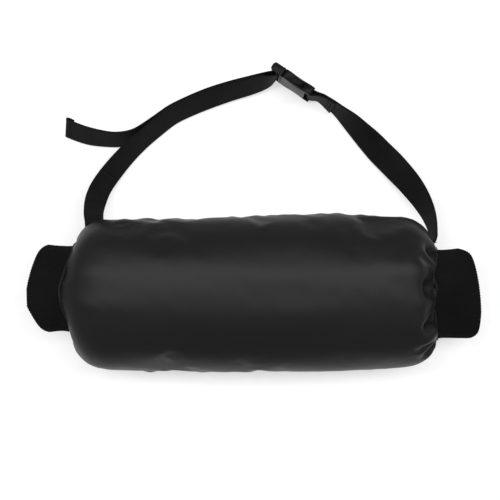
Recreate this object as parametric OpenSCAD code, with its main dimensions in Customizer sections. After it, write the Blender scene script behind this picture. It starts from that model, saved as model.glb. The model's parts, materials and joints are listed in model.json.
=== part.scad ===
// Hand-warmer muff: a padded tube with a rib-knit cuff at each end and a buckled waist strap.
// Millimetres. X runs along the tube, Y points from the tube towards the strap, Z is up.
// The origin is the middle of the flat face that the muff rests on.

/* [Muff body] */
// Where the shell meets the left cuff
left_seam_x = -197; // [-230:1:-150]
// Where the shell meets the right cuff
right_seam_x = 190; // [150:1:230]
// Half width of the body beside its shoulders
body_half_w = 80; // [60:1:100]
// Height of the body beside its shoulders
body_top_z = 96; // [60:1:120]
// Extra fullness in the middle of the body
body_swell = 2; // [0:0.5:8]
// Height of the side seams above the floor
side_seam_z = 42; // [30:1:60]
// Length over which each end curves in to its cuff
shoulder = 42; // [20:1:70]

/* [Layers] */
// Thickness of the woven shell
shell_t = 1.2; // [0.8:0.1:2]
// Thickness of the batting
batting_t = 14; // [6:1:20]
// Thickness of the fleece lining
lining_t = 2; // [1:0.5:4]
// Air between two layers
layer_gap = 0.2; // [0.1:0.1:0.5]

/* [Cuffs] */
// Half width of a cuff where it is sewn to the shell
cuff_half_w = 47.8; // [40:0.2:60]
// Half height of a cuff where it is sewn to the shell
cuff_half_h = 27.8; // [20:0.2:40]
// Wall of a cuff: two plies of rib knit
cuff_wall = 3; // [2:0.5:5]
// Distance from the centre to each cuff's folded edge
cuff_end_x = 234; // [200:1:260]
// How far a cuff runs in past its seam
cuff_tuck = 15; // [10:1:30]

/* [Strap] */
// Width of the webbing
web_w = 30; // [20:1:40]
// Thickness of the webbing
web_t = 1.6; // [1:0.1:2.5]
// Distance between the middles of two plies that lie together
ply_pitch = 2.2; // [1.7:0.1:3]
// Diameter of the sewing thread
thread_d = 0.7; // [0.4:0.1:1]

/* [Buckle] */
// Width of both buckle halves
buckle_w = 38; // [34:1:44]
// Thickness of the socket
buckle_t = 10; // [8:0.5:12]
// Length of the socket, from its mouth to its webbing bar
socket_l = 37; // [32:1:44]
// How far the ladder lock stands out of the socket
ladder_l = 15; // [12:1:20]
// How far the buckle is turned up on to its edge
buckle_roll = 90; // [60:1:110]

/* [Hidden] */
$fn = 48;

shell_colour = [0.13, 0.13, 0.14];
batting_colour = [0.85, 0.85, 0.83];
lining_colour = [0.16, 0.16, 0.17];
knit_colour = [0.08, 0.08, 0.09];
webbing_colour = [0.10, 0.10, 0.11];
thread_colour = [0.12, 0.12, 0.13];
plastic_colour = [0.14, 0.14, 0.15];

cap_steps = 6;
angle_step = 12;
straight_x = [-110, -60, 0, 60, 110];
crown_power = 0.87;
base_power = 0.75;
base_spread = 1.12;

batting_inset = shell_t + layer_gap;
lining_inset = batting_inset + batting_t + layer_gap;
seam_half_w = cuff_half_w + layer_gap;
seam_top_z = side_seam_z + cuff_half_h + layer_gap;
seam_low_z = side_seam_z - cuff_half_h - layer_gap;

// ---- Padded body: every layer is the same set of cross-sections, moved inwards by an inset ----

function swell(x) = body_swell * max(0, 1 - pow(x / 150, 2));

// A station is [x, how far the section has grown from cuff size to body size].
function cap_stations(seam_x, towards, inset) = [
    for (i = [0 : cap_steps])
        let (turn = 90 * i / cap_steps)
            [seam_x + towards * (shoulder - (shoulder - inset) * cos(turn)), sin(turn)]
];

function backwards(list) = [for (i = [len(list) - 1 : -1 : 0]) list[i]];

function body_stations(inset) = concat(
    cap_stations(left_seam_x, 1, inset),
    [for (x = straight_x) [x, 1]],
    backwards(cap_stations(right_seam_x, -1, inset))
);

function rounded_section(x, half_w, top_z, low_z, angle) =
    let (across = pow(abs(cos(angle)), crown_power))
    let (up = pow(abs(sin(angle)), crown_power))
    let (down = min(1, base_spread * pow(abs(sin(angle)), base_power)))
        [
            x,
            sign(cos(angle)) * half_w * across,
            sin(angle) >= 0
                ? side_seam_z + (top_z - side_seam_z) * up
                : side_seam_z - (side_seam_z - low_z) * down
        ];

function body_point(station, inset, angle) =
    let (x = station[0])
    let (grown = station[1])
        rounded_section(
            x,
            seam_half_w + (body_half_w - inset - seam_half_w) * grown + swell(x),
            seam_top_z + (body_top_z - inset - seam_top_z) * grown + 2 * swell(x),
            seam_low_z + (inset - seam_low_z) * grown,
            angle
        );

// ---- Polyhedron helpers ----

function two_triangles(a, b, c, d) = [[a, b, c], [a, c, d]];

// Skins a closed profile of "rows" points that is repeated at "cols" angles.
function wall_faces(rows, cols, wrap) = [
    for (i = [0 : rows - 1])
        for (j = [0 : cols - (wrap ? 1 : 2)])
            let (i2 = (i + 1) % rows)
            let (j2 = (j + 1) % cols)
                each two_triangles(i * cols + j, i * cols + j2, i2 * cols + j2, i2 * cols + j)
];

// Closes one cut end of a wall whose profile runs out along one skin and back along the other.
function cut_faces(rows, cols, j, flip) = [
    for (i = [0 : rows / 2 - 2])
        let (a = i * cols + j)
        let (b = (i + 1) * cols + j)
        let (c = (rows - 2 - i) * cols + j)
        let (d = (rows - 1 - i) * cols + j)
            each (flip ? two_triangles(a, d, c, b) : two_triangles(a, b, c, d))
];

module body_panel(outer_inset, inner_inset, start_angle) {
    angles = [start_angle : angle_step : start_angle + 180];
    outer = body_stations(outer_inset);
    inner = backwards(body_stations(inner_inset));
    rows = len(outer) + len(inner);
    cols = 180 / angle_step + 1;
    points = concat(
        [for (s = outer) for (a = angles) body_point(s, outer_inset, a)],
        [for (s = inner) for (a = angles) body_point(s, inner_inset, a)]
    );
    faces = concat(
        wall_faces(rows, cols, false),
        cut_faces(rows, cols, 0, false),
        cut_faces(rows, cols, cols - 1, true)
    );
    polyhedron(points, faces, convexity = 8);
}

// Sweeps a closed profile of [x, inset] points round the cuff's own section.
module cuff_sleeve(profile) {
    cols = 360 / angle_step;
    points = [
        for (p = profile)
            for (j = [0 : cols - 1])
                rounded_section(
                    p[0],
                    cuff_half_w - p[1],
                    side_seam_z + cuff_half_h - p[1],
                    side_seam_z - cuff_half_h + p[1],
                    j * angle_step
                )
    ];
    polyhedron(points, wall_faces(len(profile), cols, true), convexity = 8);
}

// ---- Muff ----

module front_shell() {
    color(shell_colour) body_panel(0, shell_t, 0);
}

module back_shell() {
    color(shell_colour) body_panel(0, shell_t, 180);
}

module front_insulation() {
    color(batting_colour) body_panel(batting_inset, batting_inset + batting_t, 0);
}

module back_insulation() {
    color(batting_colour) body_panel(batting_inset, batting_inset + batting_t, 180);
}

module front_lining() {
    color(lining_colour) body_panel(lining_inset, lining_inset + lining_t, 0);
}

module back_lining() {
    color(lining_colour) body_panel(lining_inset, lining_inset + lining_t, 180);
}

// The two plies meet in a round fold at the outer edge.
function cuff_profile(seam_x, side) =
    let (inner_x = seam_x - side * cuff_tuck)
    let (fold_x = side * (cuff_end_x - cuff_wall / 2))
    let (slim = 1.3)
        [
            [inner_x, 0],
            [seam_x, 0],
            [seam_x + side * 6, slim],
            for (turn = [0 : 45 : 180])
                [fold_x + side * sin(turn) * cuff_wall / 2, slim + cuff_wall / 2 * (1 - cos(turn))],
            [seam_x + side * 6, slim + cuff_wall],
            [seam_x, cuff_wall],
            [inner_x, cuff_wall]
        ];

module left_cuff() {
    color(knit_colour) cuff_sleeve(backwards(cuff_profile(left_seam_x, -1)));
}

module right_cuff() {
    color(knit_colour) cuff_sleeve(cuff_profile(right_seam_x, 1));
}

binding_w = 3.6;
binding_t = 1.8;

// The binding covers the shell's raw edge; its inside stays clear of the cuff.
function binding_profile(seam_x, side) =
    let (near_x = seam_x + side * 0.2)
    let (far_x = near_x + side * binding_w)
        [
            [near_x, -0.1],
            [near_x, -binding_t],
            [near_x + side * 0.8, -binding_t - 0.5],
            [far_x - side * 0.8, -binding_t - 0.5],
            [far_x, -binding_t],
            [far_x, -0.1]
        ];

module left_seam_binding() {
    color(shell_colour) cuff_sleeve(binding_profile(left_seam_x, -1));
}

module right_seam_binding() {
    color(shell_colour) cuff_sleeve(backwards(binding_profile(right_seam_x, 1)));
}

// One thread runs round on top of each binding.
module seam_thread(seam_x, side) {
    centre_x = seam_x + side * (0.2 + binding_w / 2);
    centre_inset = -binding_t - 0.55 - thread_d / 2;
    profile = [
        for (turn = [0 : 60 : 300])
            [centre_x + thread_d / 2 * cos(turn), centre_inset + thread_d / 2 * sin(turn)]
    ];
    color(thread_colour) cuff_sleeve(profile);
}

module left_seam_thread() {
    seam_thread(left_seam_x, -1);
}

module right_seam_thread() {
    seam_thread(right_seam_x, 1);
}

// ---- Buckle frame: u runs from the latch to the socket, v across, n to the strap's inner face ----

buckle_pos = [32, 236.5, 20.2];
buckle_heading = -34;
axis_u = [cos(buckle_heading), sin(buckle_heading), 0];
axis_out = [-axis_u[1], axis_u[0], 0];
axis_v = axis_out * cos(buckle_roll) + [0, 0, sin(buckle_roll)];
axis_n = cross(axis_u, axis_v);

function buckle_point(u, n) = buckle_pos + u * axis_u + n * axis_n;

module in_buckle_frame() {
    translate(buckle_pos) rotate([0, 0, buckle_heading]) rotate([buckle_roll, 0, 0]) children();
}

// ---- Webbing: a route is a list of [middle point, direction across the webbing] ----

function unit(v) = v / norm(v);

function across_strap(before, after, roll, outward) =
    let (run = unit([after[0] - before[0], after[1] - before[1], 0]))
        [-run[1] * outward, run[0] * outward, 0] * cos(roll) + [0, 0, sin(roll)];

// Turns hand-placed [x, y, z, roll] points into a route.
function placed_route(places, outward) = [
    for (i = [0 : len(places) - 1])
        let (p = places[i])
        let (before = places[max(0, i - 1)])
        let (after = places[min(len(places) - 1, i + 1)])
            [[p[0], p[1], p[2]], across_strap(before, after, p[3], outward)]
];

function curve_blend(a, b, c, d, t) =
    0.5 * (2 * b + (c - a) * t + (2 * a - 5 * b + 4 * c - d) * t * t + (3 * b - a - 3 * c + d) * t * t * t);

// Passes a smooth curve through a route, with "steps" pieces between neighbours.
function smooth_route(route, steps) = concat(
    [
        for (i = [0 : len(route) - 2])
            for (k = [0 : steps - 1])
                let (a = route[max(0, i - 1)])
                let (b = route[i])
                let (c = route[i + 1])
                let (d = route[min(len(route) - 1, i + 2)])
                    [
                        curve_blend(a[0], b[0], c[0], d[0], k / steps),
                        curve_blend(a[1], b[1], c[1], d[1], k / steps)
                    ]
    ],
    [route[len(route) - 1]]
);

function route_run(route, i) = unit(route[min(len(route) - 1, i + 1)][0] - route[max(0, i - 1)][0]);

function route_across(route, i) = unit(route[i][1]);

function route_face(route, i) = unit(cross(route_run(route, i), route_across(route, i)));

// The same route, moved by a distance along its own face direction.
function beside(route, first, last, distance) = [
    for (i = [first : (last > first ? 1 : -1) : last])
        [route[i][0] + distance * route_face(route, i), route_across(route, i)]
];

module ribbon(route) {
    rings = len(route);
    points = [
        for (i = [0 : rings - 1])
            let (p = route[i][0])
            let (a = route_across(route, i) * web_w / 2)
            let (f = route_face(route, i) * web_t / 2)
                each [p - a - f, p + a - f, p + a + f, p - a + f]
    ];
    sides = [
        for (i = [0 : rings - 2])
            for (j = [0 : 3])
                let (j2 = (j + 1) % 4)
                    each two_triangles(4 * i + j, 4 * i + 4 + j, 4 * i + 4 + j2, 4 * i + j2)
    ];
    last = 4 * (rings - 1);
    ends = concat(two_triangles(0, 1, 2, 3), two_triangles(last + 3, last + 2, last + 1, last));
    polyhedron(points, concat(sides, ends), convexity = 10);
}

module rod(from, to) {
    way = to - from;
    translate(from)
        rotate([0, acos(way[2] / norm(way)), atan2(way[1], way[0])])
            cylinder(h = norm(way), d = thread_d, $fn = 16);
}

// A row of stitches across the webbing, lying on one face of it.
module stitch_row(route, i, height) {
    middle = route[i][0] + route_face(route, i) * (height + sign(height) * (thread_d / 2 + 0.05));
    reach = route_across(route, i) * (web_w / 2 - 2.5);
    rod(middle - reach, middle + reach);
}

// Long webbing from its left root to the ladder lock.
load_places = [
    [-170.5, 78.6, 36, 60],
    [-172, 88, 31, 57],
    [-170.8, 102, 24, 51],
    [-165.8, 116.5, 18.5, 51],
    [-154, 134.5, 14.5, 53],
    [-139, 152.5, 12.2, 57],
    [-124, 167, 12.4, 60],
    [-108, 180.5, 12.6, 61],
    [-90, 194.5, 12.8, 60],
    [-70, 204.5, 13, 59],
    [-48, 213.4, 13.5, 58],
    [-26, 220.4, 15.2, 60],
    [-5, 225.8, 17.6, 63],
    [8, 229.2, 19.4, 68],
    [18, 231.6, 20.2, 80]
];
load_steps = 3;
load_last = (len(load_places) - 2) * load_steps;
tail_leaves_at = 8 * load_steps;

front_bar_u = -7.5;
end_bar_u = -13.4;
end_bar_n = -1;
bar_r = 1.4;
wrap_r = bar_r + web_t / 2 + 0.3;

// The load side runs into the front slot.
load_route = smooth_route(
    concat(
        placed_route(load_places, 1),
        [
            [buckle_point(-6.2, 6.4), axis_v],
            [buckle_point(front_bar_u + wrap_r, 1.6), axis_v]
        ]
    ),
    load_steps
);

// It turns round the front bar on the outer side and comes back through the rear slot.
bar_route = [
    for (turn = [0 : 22.5 : 180])
        [buckle_point(front_bar_u + wrap_r * cos(turn), -wrap_r * sin(turn)), axis_v]
];

// The tail lies on the outer face of the long webbing, then leaves it and ends in a folded hem.
tail_places = [
    [-114.5, 180.2, 13.6, 64],
    [-129.5, 172.2, 14.4, 67],
    [-145.5, 168.8, 14.8, 66],
    [-160, 169, 14.4, 63],
    [-179.5, 172.2, 13.4, 57],
    [-193, 176.4, 13, 55],
    [-205, 181.2, 13, 55]
];
hem_l = 7;
tail_steps = 3;

// Between the slot and the stretch where the two plies lie together, the tail closes in step by step.
resting_tail = beside(load_route, load_last - load_steps, tail_leaves_at, -ply_pitch);
slot_tail = smooth_route(
    concat(
        [
            [buckle_point(front_bar_u - wrap_r, 1.6), axis_v],
            [buckle_point(-11.2, 4.2), axis_v]
        ],
        beside(load_route, load_last + 2, load_last + 2, -4.2),
        beside(load_route, load_last, load_last, -2.6),
        [resting_tail[0]]
    ),
    tail_steps
);
free_tail = smooth_route(
    concat([resting_tail[len(resting_tail) - 1]], placed_route(tail_places, -1)),
    tail_steps
);
tail_end = len(free_tail) - 1;
tail_run = route_run(free_tail, tail_end);
tail_across = route_across(free_tail, tail_end);
tail_face = cross(tail_run, tail_across);
tail_tip = free_tail[tail_end][0];

hem_route = concat(
    [
        for (turn = [45 : 45 : 180])
            [
                tail_tip + ply_pitch / 2 * (sin(turn) * tail_run + (1 - cos(turn)) * tail_face),
                tail_across
            ]
    ],
    [[tail_tip + ply_pitch * tail_face - hem_l * tail_run, tail_across]]
);

module adjustable_webbing() {
    color(webbing_colour)
        ribbon(concat(
            load_route,
            bar_route,
            slot_tail,
            [for (i = [1 : len(resting_tail) - 1]) resting_tail[i]],
            [for (i = [1 : tail_end]) free_tail[i]],
            hem_route
        ));
}

// Short webbing from the socket to its right root.
fixed_places = [
    [75.5, 212.6, 19.6, 86],
    [84, 206.2, 18.4, 80],
    [94.5, 197.8, 16.4, 73],
    [105.5, 188.4, 14.2, 61],
    [116.5, 177.8, 12.2, 51],
    [128, 166.6, 10.2, 40],
    [139, 155.2, 9, 33],
    [150, 144, 10, 31],
    [160.2, 132.2, 13, 35],
    [169, 121, 16.8, 42],
    [176.5, 109.4, 21.2, 50],
    [182.6, 97.8, 25.6, 60],
    [187.4, 85.4, 30.4, 71],
    [190.2, 73.4, 34.4, 81],
    [191.6, 62.6, 36.6, 88],
    [191.8, 53, 37.4, 90]
];
fixed_steps = 3;
fixed_route = smooth_route(placed_route(fixed_places, 1), fixed_steps);

web_bar_u = socket_l - 1.7;
web_bar_r = 1.7;
socket_wrap_r = web_bar_r + web_t / 2 + 0.3;

// The end is folded round the socket's bar and lies on the inner face of the same webbing.
fold_route = concat(
    beside(fixed_route, 4, 1, ply_pitch),
    smooth_route(
        [
            [buckle_point(42.6, -0.4), axis_v],
            [buckle_point(39.2, 1.7), axis_v],
            [buckle_point(web_bar_u + 1, socket_wrap_r), axis_v]
        ],
        2
    ),
    [
        for (turn = [0 : 22.5 : 180])
            [
                buckle_point(web_bar_u - socket_wrap_r * sin(turn), socket_wrap_r * cos(turn)),
                axis_v
            ]
    ],
    [[buckle_point(web_bar_u + 3.2, -socket_wrap_r - 0.2), axis_v]]
);

module fixed_webbing() {
    color(webbing_colour) ribbon(concat(fold_route, fixed_route));
}

module left_root_thread() {
    color(thread_colour) {
        for (i = [1, 2]) {
            stitch_row(load_route, i, web_t / 2);
            stitch_row(load_route, i, -web_t / 2);
        }
    }
}

module right_root_thread() {
    last = len(fixed_route) - 1;
    color(thread_colour) {
        for (i = [last - 2, last - 1]) {
            stitch_row(fixed_route, i, web_t / 2);
            stitch_row(fixed_route, i, -web_t / 2);
        }
    }
}

module socket_fold_thread() {
    color(thread_colour) {
        for (i = [2, 3]) {
            stitch_row(fixed_route, i, ply_pitch + web_t / 2);
            stitch_row(fixed_route, i, -web_t / 2);
        }
    }
}

module tail_hem_thread() {
    back = tail_end - 1;
    color(thread_colour) {
        stitch_row(free_tail, back, ply_pitch + web_t / 2);
        stitch_row(free_tail, back, -web_t / 2);
    }
}

// ---- Buckle ----

throat = 11.7;
window_l = 13.8;
cavity_w = 31;
cavity_t = 6.4;

module rounded_outline(from_u, to_u, width, r) {
    length = to_u - from_u;
    translate([(from_u + to_u) / 2, 0]) {
        square([length, width - 2 * r], center = true);
        square([length - 2 * r, width], center = true);
        for (u = [-1, 1]) {
            for (v = [-1, 1]) {
                translate([u * (length / 2 - r), v * (width / 2 - r)]) circle(r = r);
            }
        }
    }
}

module plate(from_u, to_u, width, r, thickness) {
    translate([0, 0, -thickness / 2]) linear_extrude(thickness) rounded_outline(from_u, to_u, width, r);
}

module block(from_u, to_u, width, thickness) {
    translate([from_u, -width / 2, -thickness / 2]) cube([to_u - from_u, width, thickness]);
}

// A bar as wide as the buckle, with rounded corners when seen from the side.
module side_profile(from_u, to_u, thickness, r) {
    translate([0, buckle_w / 2, 0]) rotate([90, 0, 0])
        linear_extrude(buckle_w) rounded_outline(from_u, to_u, thickness, r);
}

// A round bar across an opening of the buckle.
module cross_bar(u, n, r) {
    bar_l = cavity_w + 1;
    translate([u, bar_l / 2, n]) rotate([90, 0, 0]) cylinder(r = r, h = bar_l);
}

module buckle_socket() {
    slot_from = web_bar_u - web_bar_r - 3.4;
    scoop_r = 24;
    color(plastic_colour) in_buckle_frame() {
        difference() {
            plate(0, socket_l, buckle_w, 3, buckle_t);
            block(-1, 28, cavity_w, cavity_t);
            block(throat, throat + window_l, buckle_w + 2, cavity_t);
            block(slot_from, socket_l + 1, cavity_w, buckle_t + 2);
            for (v = [-1, 1]) {
                translate([throat + window_l / 2, v * (buckle_w / 2 + scoop_r - 2.6), -buckle_t])
                    cylinder(r = scoop_r, h = 2 * buckle_t, $fn = 96);
            }
        }
        cross_bar(web_bar_u, 0, web_bar_r);
    }
}

module latch_frame() {
    bars_from = -ladder_l;
    shoulder_u = -3;
    frame_t = 9.4;
    tongue_l = 22;
    color(plastic_colour) in_buckle_frame() {
        difference() {
            union() {
                intersection() {
                    plate(bars_from, -0.3, buckle_w, 2.5, frame_t);
                    side_profile(bars_from, 6, frame_t, 3.6);
                }
                plate(shoulder_u, -0.3, buckle_w, 1, buckle_t);
                block(-1, tongue_l, 6, 4.4);
            }
            block(bars_from - 1, shoulder_u, cavity_w, frame_t + 4);
        }
        cross_bar(front_bar_u, 0, bar_r);
        cross_bar(end_bar_u, end_bar_n, bar_r);
    }
}

arm_root_u = 1.6;
arm_root_v = 10.6;
arm_t = 5.4;
arm_root_r = 1.3;

// Outline of the arm on the +v side: a thin beam, then the hooked button.
arm_outline = [
    [arm_root_u, arm_root_v - arm_root_r],
    [throat + 1, 12.2],
    [throat + 9, 12.9],
    [24.6, 12.4],
    [24.9, 14],
    [22.6, 16.6],
    [19, 18],
    [throat + 2.2, 18.3],
    [throat + 0.3, 17.9],
    [throat + 0.3, 14.9],
    [arm_root_u, arm_root_v + arm_root_r]
];

module latch_arm(side) {
    grip_u = [14.6, 16.4, 18.2];
    color(plastic_colour) in_buckle_frame() mirror([0, side > 0 ? 0 : 1, 0])
        translate([0, 0, -arm_t / 2]) linear_extrude(arm_t) {
            polygon(arm_outline);
            translate([arm_root_u, arm_root_v]) circle(r = arm_root_r);
            for (u = grip_u) {
                translate([u, 17.9]) circle(r = 0.6, $fn = 24);
            }
        }
}

module outer_latch_arm() {
    latch_arm(1);
}

module inner_latch_arm() {
    latch_arm(-1);
}

front_shell();
back_shell();
front_insulation();
back_insulation();
front_lining();
back_lining();
left_cuff();
right_cuff();
left_seam_binding();
right_seam_binding();
left_seam_thread();
right_seam_thread();
adjustable_webbing();
fixed_webbing();
left_root_thread();
right_root_thread();
socket_fold_thread();
tail_hem_thread();
buckle_socket();
latch_frame();
outer_latch_arm();
inner_latch_arm();
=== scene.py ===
import json
import math
import bmesh
import bpy
import numpy as np
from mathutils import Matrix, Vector


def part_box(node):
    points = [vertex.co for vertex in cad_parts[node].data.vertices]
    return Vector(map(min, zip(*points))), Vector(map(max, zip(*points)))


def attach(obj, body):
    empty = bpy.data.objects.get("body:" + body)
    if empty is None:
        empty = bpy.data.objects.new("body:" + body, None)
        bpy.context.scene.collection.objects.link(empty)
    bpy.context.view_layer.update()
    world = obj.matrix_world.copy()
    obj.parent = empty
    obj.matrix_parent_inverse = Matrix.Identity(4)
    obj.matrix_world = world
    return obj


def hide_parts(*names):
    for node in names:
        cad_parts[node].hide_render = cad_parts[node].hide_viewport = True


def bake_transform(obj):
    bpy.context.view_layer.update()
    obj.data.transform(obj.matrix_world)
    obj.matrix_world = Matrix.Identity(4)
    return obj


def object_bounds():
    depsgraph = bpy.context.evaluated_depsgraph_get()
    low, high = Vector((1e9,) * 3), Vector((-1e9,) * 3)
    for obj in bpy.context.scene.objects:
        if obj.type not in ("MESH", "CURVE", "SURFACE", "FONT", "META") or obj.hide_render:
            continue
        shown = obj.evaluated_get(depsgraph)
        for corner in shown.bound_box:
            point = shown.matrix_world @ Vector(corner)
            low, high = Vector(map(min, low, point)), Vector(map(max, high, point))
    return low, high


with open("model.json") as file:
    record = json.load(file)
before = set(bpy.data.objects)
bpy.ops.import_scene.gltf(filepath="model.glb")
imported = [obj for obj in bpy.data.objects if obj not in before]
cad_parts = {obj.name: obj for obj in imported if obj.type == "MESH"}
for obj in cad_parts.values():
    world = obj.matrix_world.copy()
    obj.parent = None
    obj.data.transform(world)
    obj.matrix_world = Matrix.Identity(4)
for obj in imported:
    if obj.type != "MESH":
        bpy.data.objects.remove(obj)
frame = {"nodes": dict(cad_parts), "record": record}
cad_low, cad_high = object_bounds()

# Lengths below are in millimetres, and MM turns them into Blender's metres. A route or a
# surface is an array of points, and angle 0 on a cross-section is the strap side, 90 the top.
MM = 0.001


def low_corner(node):
    return np.array(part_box(node)[0]) / MM


def high_corner(node):
    return np.array(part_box(node)[1]) / MM


# ---- Driving dimensions, from the frame ----

shell_low = np.minimum(low_corner("front_shell"), low_corner("back_shell"))
shell_high = np.maximum(high_corner("front_shell"), high_corner("back_shell"))
left_seam_x = shell_low[0]
right_seam_x = shell_high[0]
side_z = low_corner("front_shell")[2]
cuff_low = low_corner("left_cuff")
cuff_high = high_corner("left_cuff")
cuff_half_w = (cuff_high[1] - cuff_low[1]) / 2
cuff_half_h = (cuff_high[2] - cuff_low[2]) / 2
left_end_x = cuff_low[0]
right_end_x = high_corner("right_cuff")[0]
lining_low = np.minimum(low_corner("front_lining"), low_corner("back_lining"))
lining_high = np.maximum(high_corner("front_lining"), high_corner("back_lining"))

body_half_w = 80
body_top_z = 96
body_swell = 2          # how much wider the body is at its middle than at its ends
body_swell_reach = 150  # half the length over which it widens
shoulder = 42           # from the right seam to the full section
left_shoulder = 54      # the same at the left seam
seam_gap = 1.4          # between a cuff's own section and the shell's edge
shell_t = 1.2
web_w = 30
web_t = 1.6
ply_pitch = 2.2         # between the middles of two plies of webbing
thread_d = 0.7


# ---- Small helpers ----

def unit(v):
    return v / np.linalg.norm(v, axis=-1, keepdims=True)


def smooth_step(low, high, x):
    t = np.clip((x - low) / (high - low), 0, 1)
    return t * t * (3 - 2 * t)


def soft_noise(p, wave, seed):
    """Smooth noise from -1 to 1 over the points p, with about "wave" millimetres between its hills."""
    source = np.random.default_rng(seed)
    total = np.zeros(p.shape[:-1])
    count = 14
    for _ in range(count):
        way = unit(source.normal(size=3))
        pitch = wave * source.uniform(0.7, 1.5)
        total += np.sin(p @ way * math.tau / pitch + source.uniform(0, math.tau))
    return total / math.sqrt(count)


def surface_object(name, points, faces, uvs=None, smooth=True):
    """A mesh object from points in millimetres. uvs has one (u, v) for each corner of each face.

    A closed surface is turned so that its faces look outwards.
    """
    mesh = bpy.data.meshes.new(name)
    mesh.from_pydata((np.asarray(points) * MM).tolist(), [], [list(map(int, f)) for f in faces])
    if uvs is not None:
        layer = mesh.uv_layers.new(name="fabric")
        layer.data.foreach_set("uv", np.asarray(uvs, np.float32).ravel())
    mesh.validate()
    solid = bmesh.new()
    solid.from_mesh(mesh)
    if len(faces) > 1 and solid.calc_volume(signed=True) < 0:
        mesh.flip_normals()
    solid.free()
    mesh.polygons.foreach_set("use_smooth", [smooth] * len(mesh.polygons))
    obj = bpy.data.objects.new(name, mesh)
    bpy.context.scene.collection.objects.link(obj)
    return obj


def grid_faces(rows, cols, close_rows=False, close_cols=False):
    """Quads of a grid of points, numbered row by row."""
    r = np.arange(rows if close_rows else rows - 1)
    c = np.arange(cols if close_cols else cols - 1)
    i, j = np.meshgrid(r, c, indexing="ij")
    i2, j2 = (i + 1) % rows, (j + 1) % cols
    quads = [i * cols + j, i * cols + j2, i2 * cols + j2, i2 * cols + j]
    return np.stack(quads, axis=-1).reshape(-1, 4)


def grid_uvs(u, v):
    """Corner UVs for grid_faces. u and v hold one value more than there are faces each way."""
    i, j = np.meshgrid(np.arange(len(u) - 1), np.arange(len(v) - 1), indexing="ij")
    corners = [(u[i], v[j]), (u[i], v[j + 1]), (u[i + 1], v[j + 1]), (u[i + 1], v[j])]
    return np.stack([np.stack(c, axis=-1) for c in corners], axis=-2).reshape(-1, 2) * MM


def section(half_w, top_z, low_z, angles):
    """The tube's cross-section: y and z at each angle, as the frame has it."""
    a = np.radians(angles)
    c, s = np.cos(a), np.sin(a)
    y = np.sign(c) * half_w * np.abs(c) ** 0.87
    up = side_z + (top_z - side_z) * np.abs(s) ** 0.87
    down = side_z - (side_z - low_z) * np.minimum(1, 1.12 * np.abs(s) ** 0.75)
    return y, np.where(s >= 0, up, down)


# ---- Materials ----

def new_material(name):
    material = bpy.data.materials.new(name)
    material.use_nodes = True
    return material, material.node_tree


def math_node(tree, operation, a, b=None):
    node = tree.nodes.new("ShaderNodeMath")
    node.operation = operation
    for socket, value in zip(node.inputs, (a, b)):
        if value is None:
            continue
        if isinstance(value, (int, float)):
            socket.default_value = value
        else:
            tree.links.new(value, socket)
    return node.outputs[0]


def noise_node(tree, vector, scale, detail=3.0):
    node = tree.nodes.new("ShaderNodeTexNoise")
    node.inputs["Scale"].default_value = scale
    node.inputs["Detail"].default_value = detail
    tree.links.new(vector, node.inputs["Vector"])
    return node.outputs["Fac"]


def ramp_node(tree, value, stops):
    node = tree.nodes.new("ShaderNodeValToRGB")
    ramp = node.color_ramp
    while len(ramp.elements) < len(stops):
        ramp.elements.new(0.5)
    for element, (place, colour) in zip(ramp.elements, stops):
        element.position = place
        element.color = (*colour, 1)
    tree.links.new(value, node.inputs["Fac"])
    return node.outputs["Color"]


def range_node(tree, value, low, high):
    node = tree.nodes.new("ShaderNodeMapRange")
    node.inputs["To Min"].default_value = low
    node.inputs["To Max"].default_value = high
    tree.links.new(value, node.inputs["Value"])
    return node.outputs["Result"]


def bump_node(tree, height, distance, strength=1.0, under=None):
    node = tree.nodes.new("ShaderNodeBump")
    node.inputs["Strength"].default_value = strength
    node.inputs["Distance"].default_value = distance
    tree.links.new(height, node.inputs["Height"])
    if under is not None:
        tree.links.new(under, node.inputs["Normal"])
    return node.outputs["Normal"]


def times(tree, a, b):
    return math_node(tree, "MULTIPLY", a, b)


def mixed(tree, a, share_a, b, share_b):
    return math_node(tree, "ADD", times(tree, a, share_a), times(tree, b, share_b))


def fabric_place(tree):
    """The fabric's own coordinates, along and across, in metres."""
    uv = tree.nodes.new("ShaderNodeUVMap")
    uv.uv_map = "fabric"
    split = tree.nodes.new("ShaderNodeSeparateXYZ")
    tree.links.new(uv.outputs["UV"], split.inputs[0])
    return split.outputs["X"], split.outputs["Y"]


def object_place(tree):
    return tree.nodes.new("ShaderNodeTexCoord").outputs["Object"]


def set_values(node, values):
    for socket, value in values.items():
        node.inputs[socket].default_value = value


def set_colour(tree, shader, value, *stops):
    tree.links.new(ramp_node(tree, value, stops), shader.inputs["Base Color"])


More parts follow.
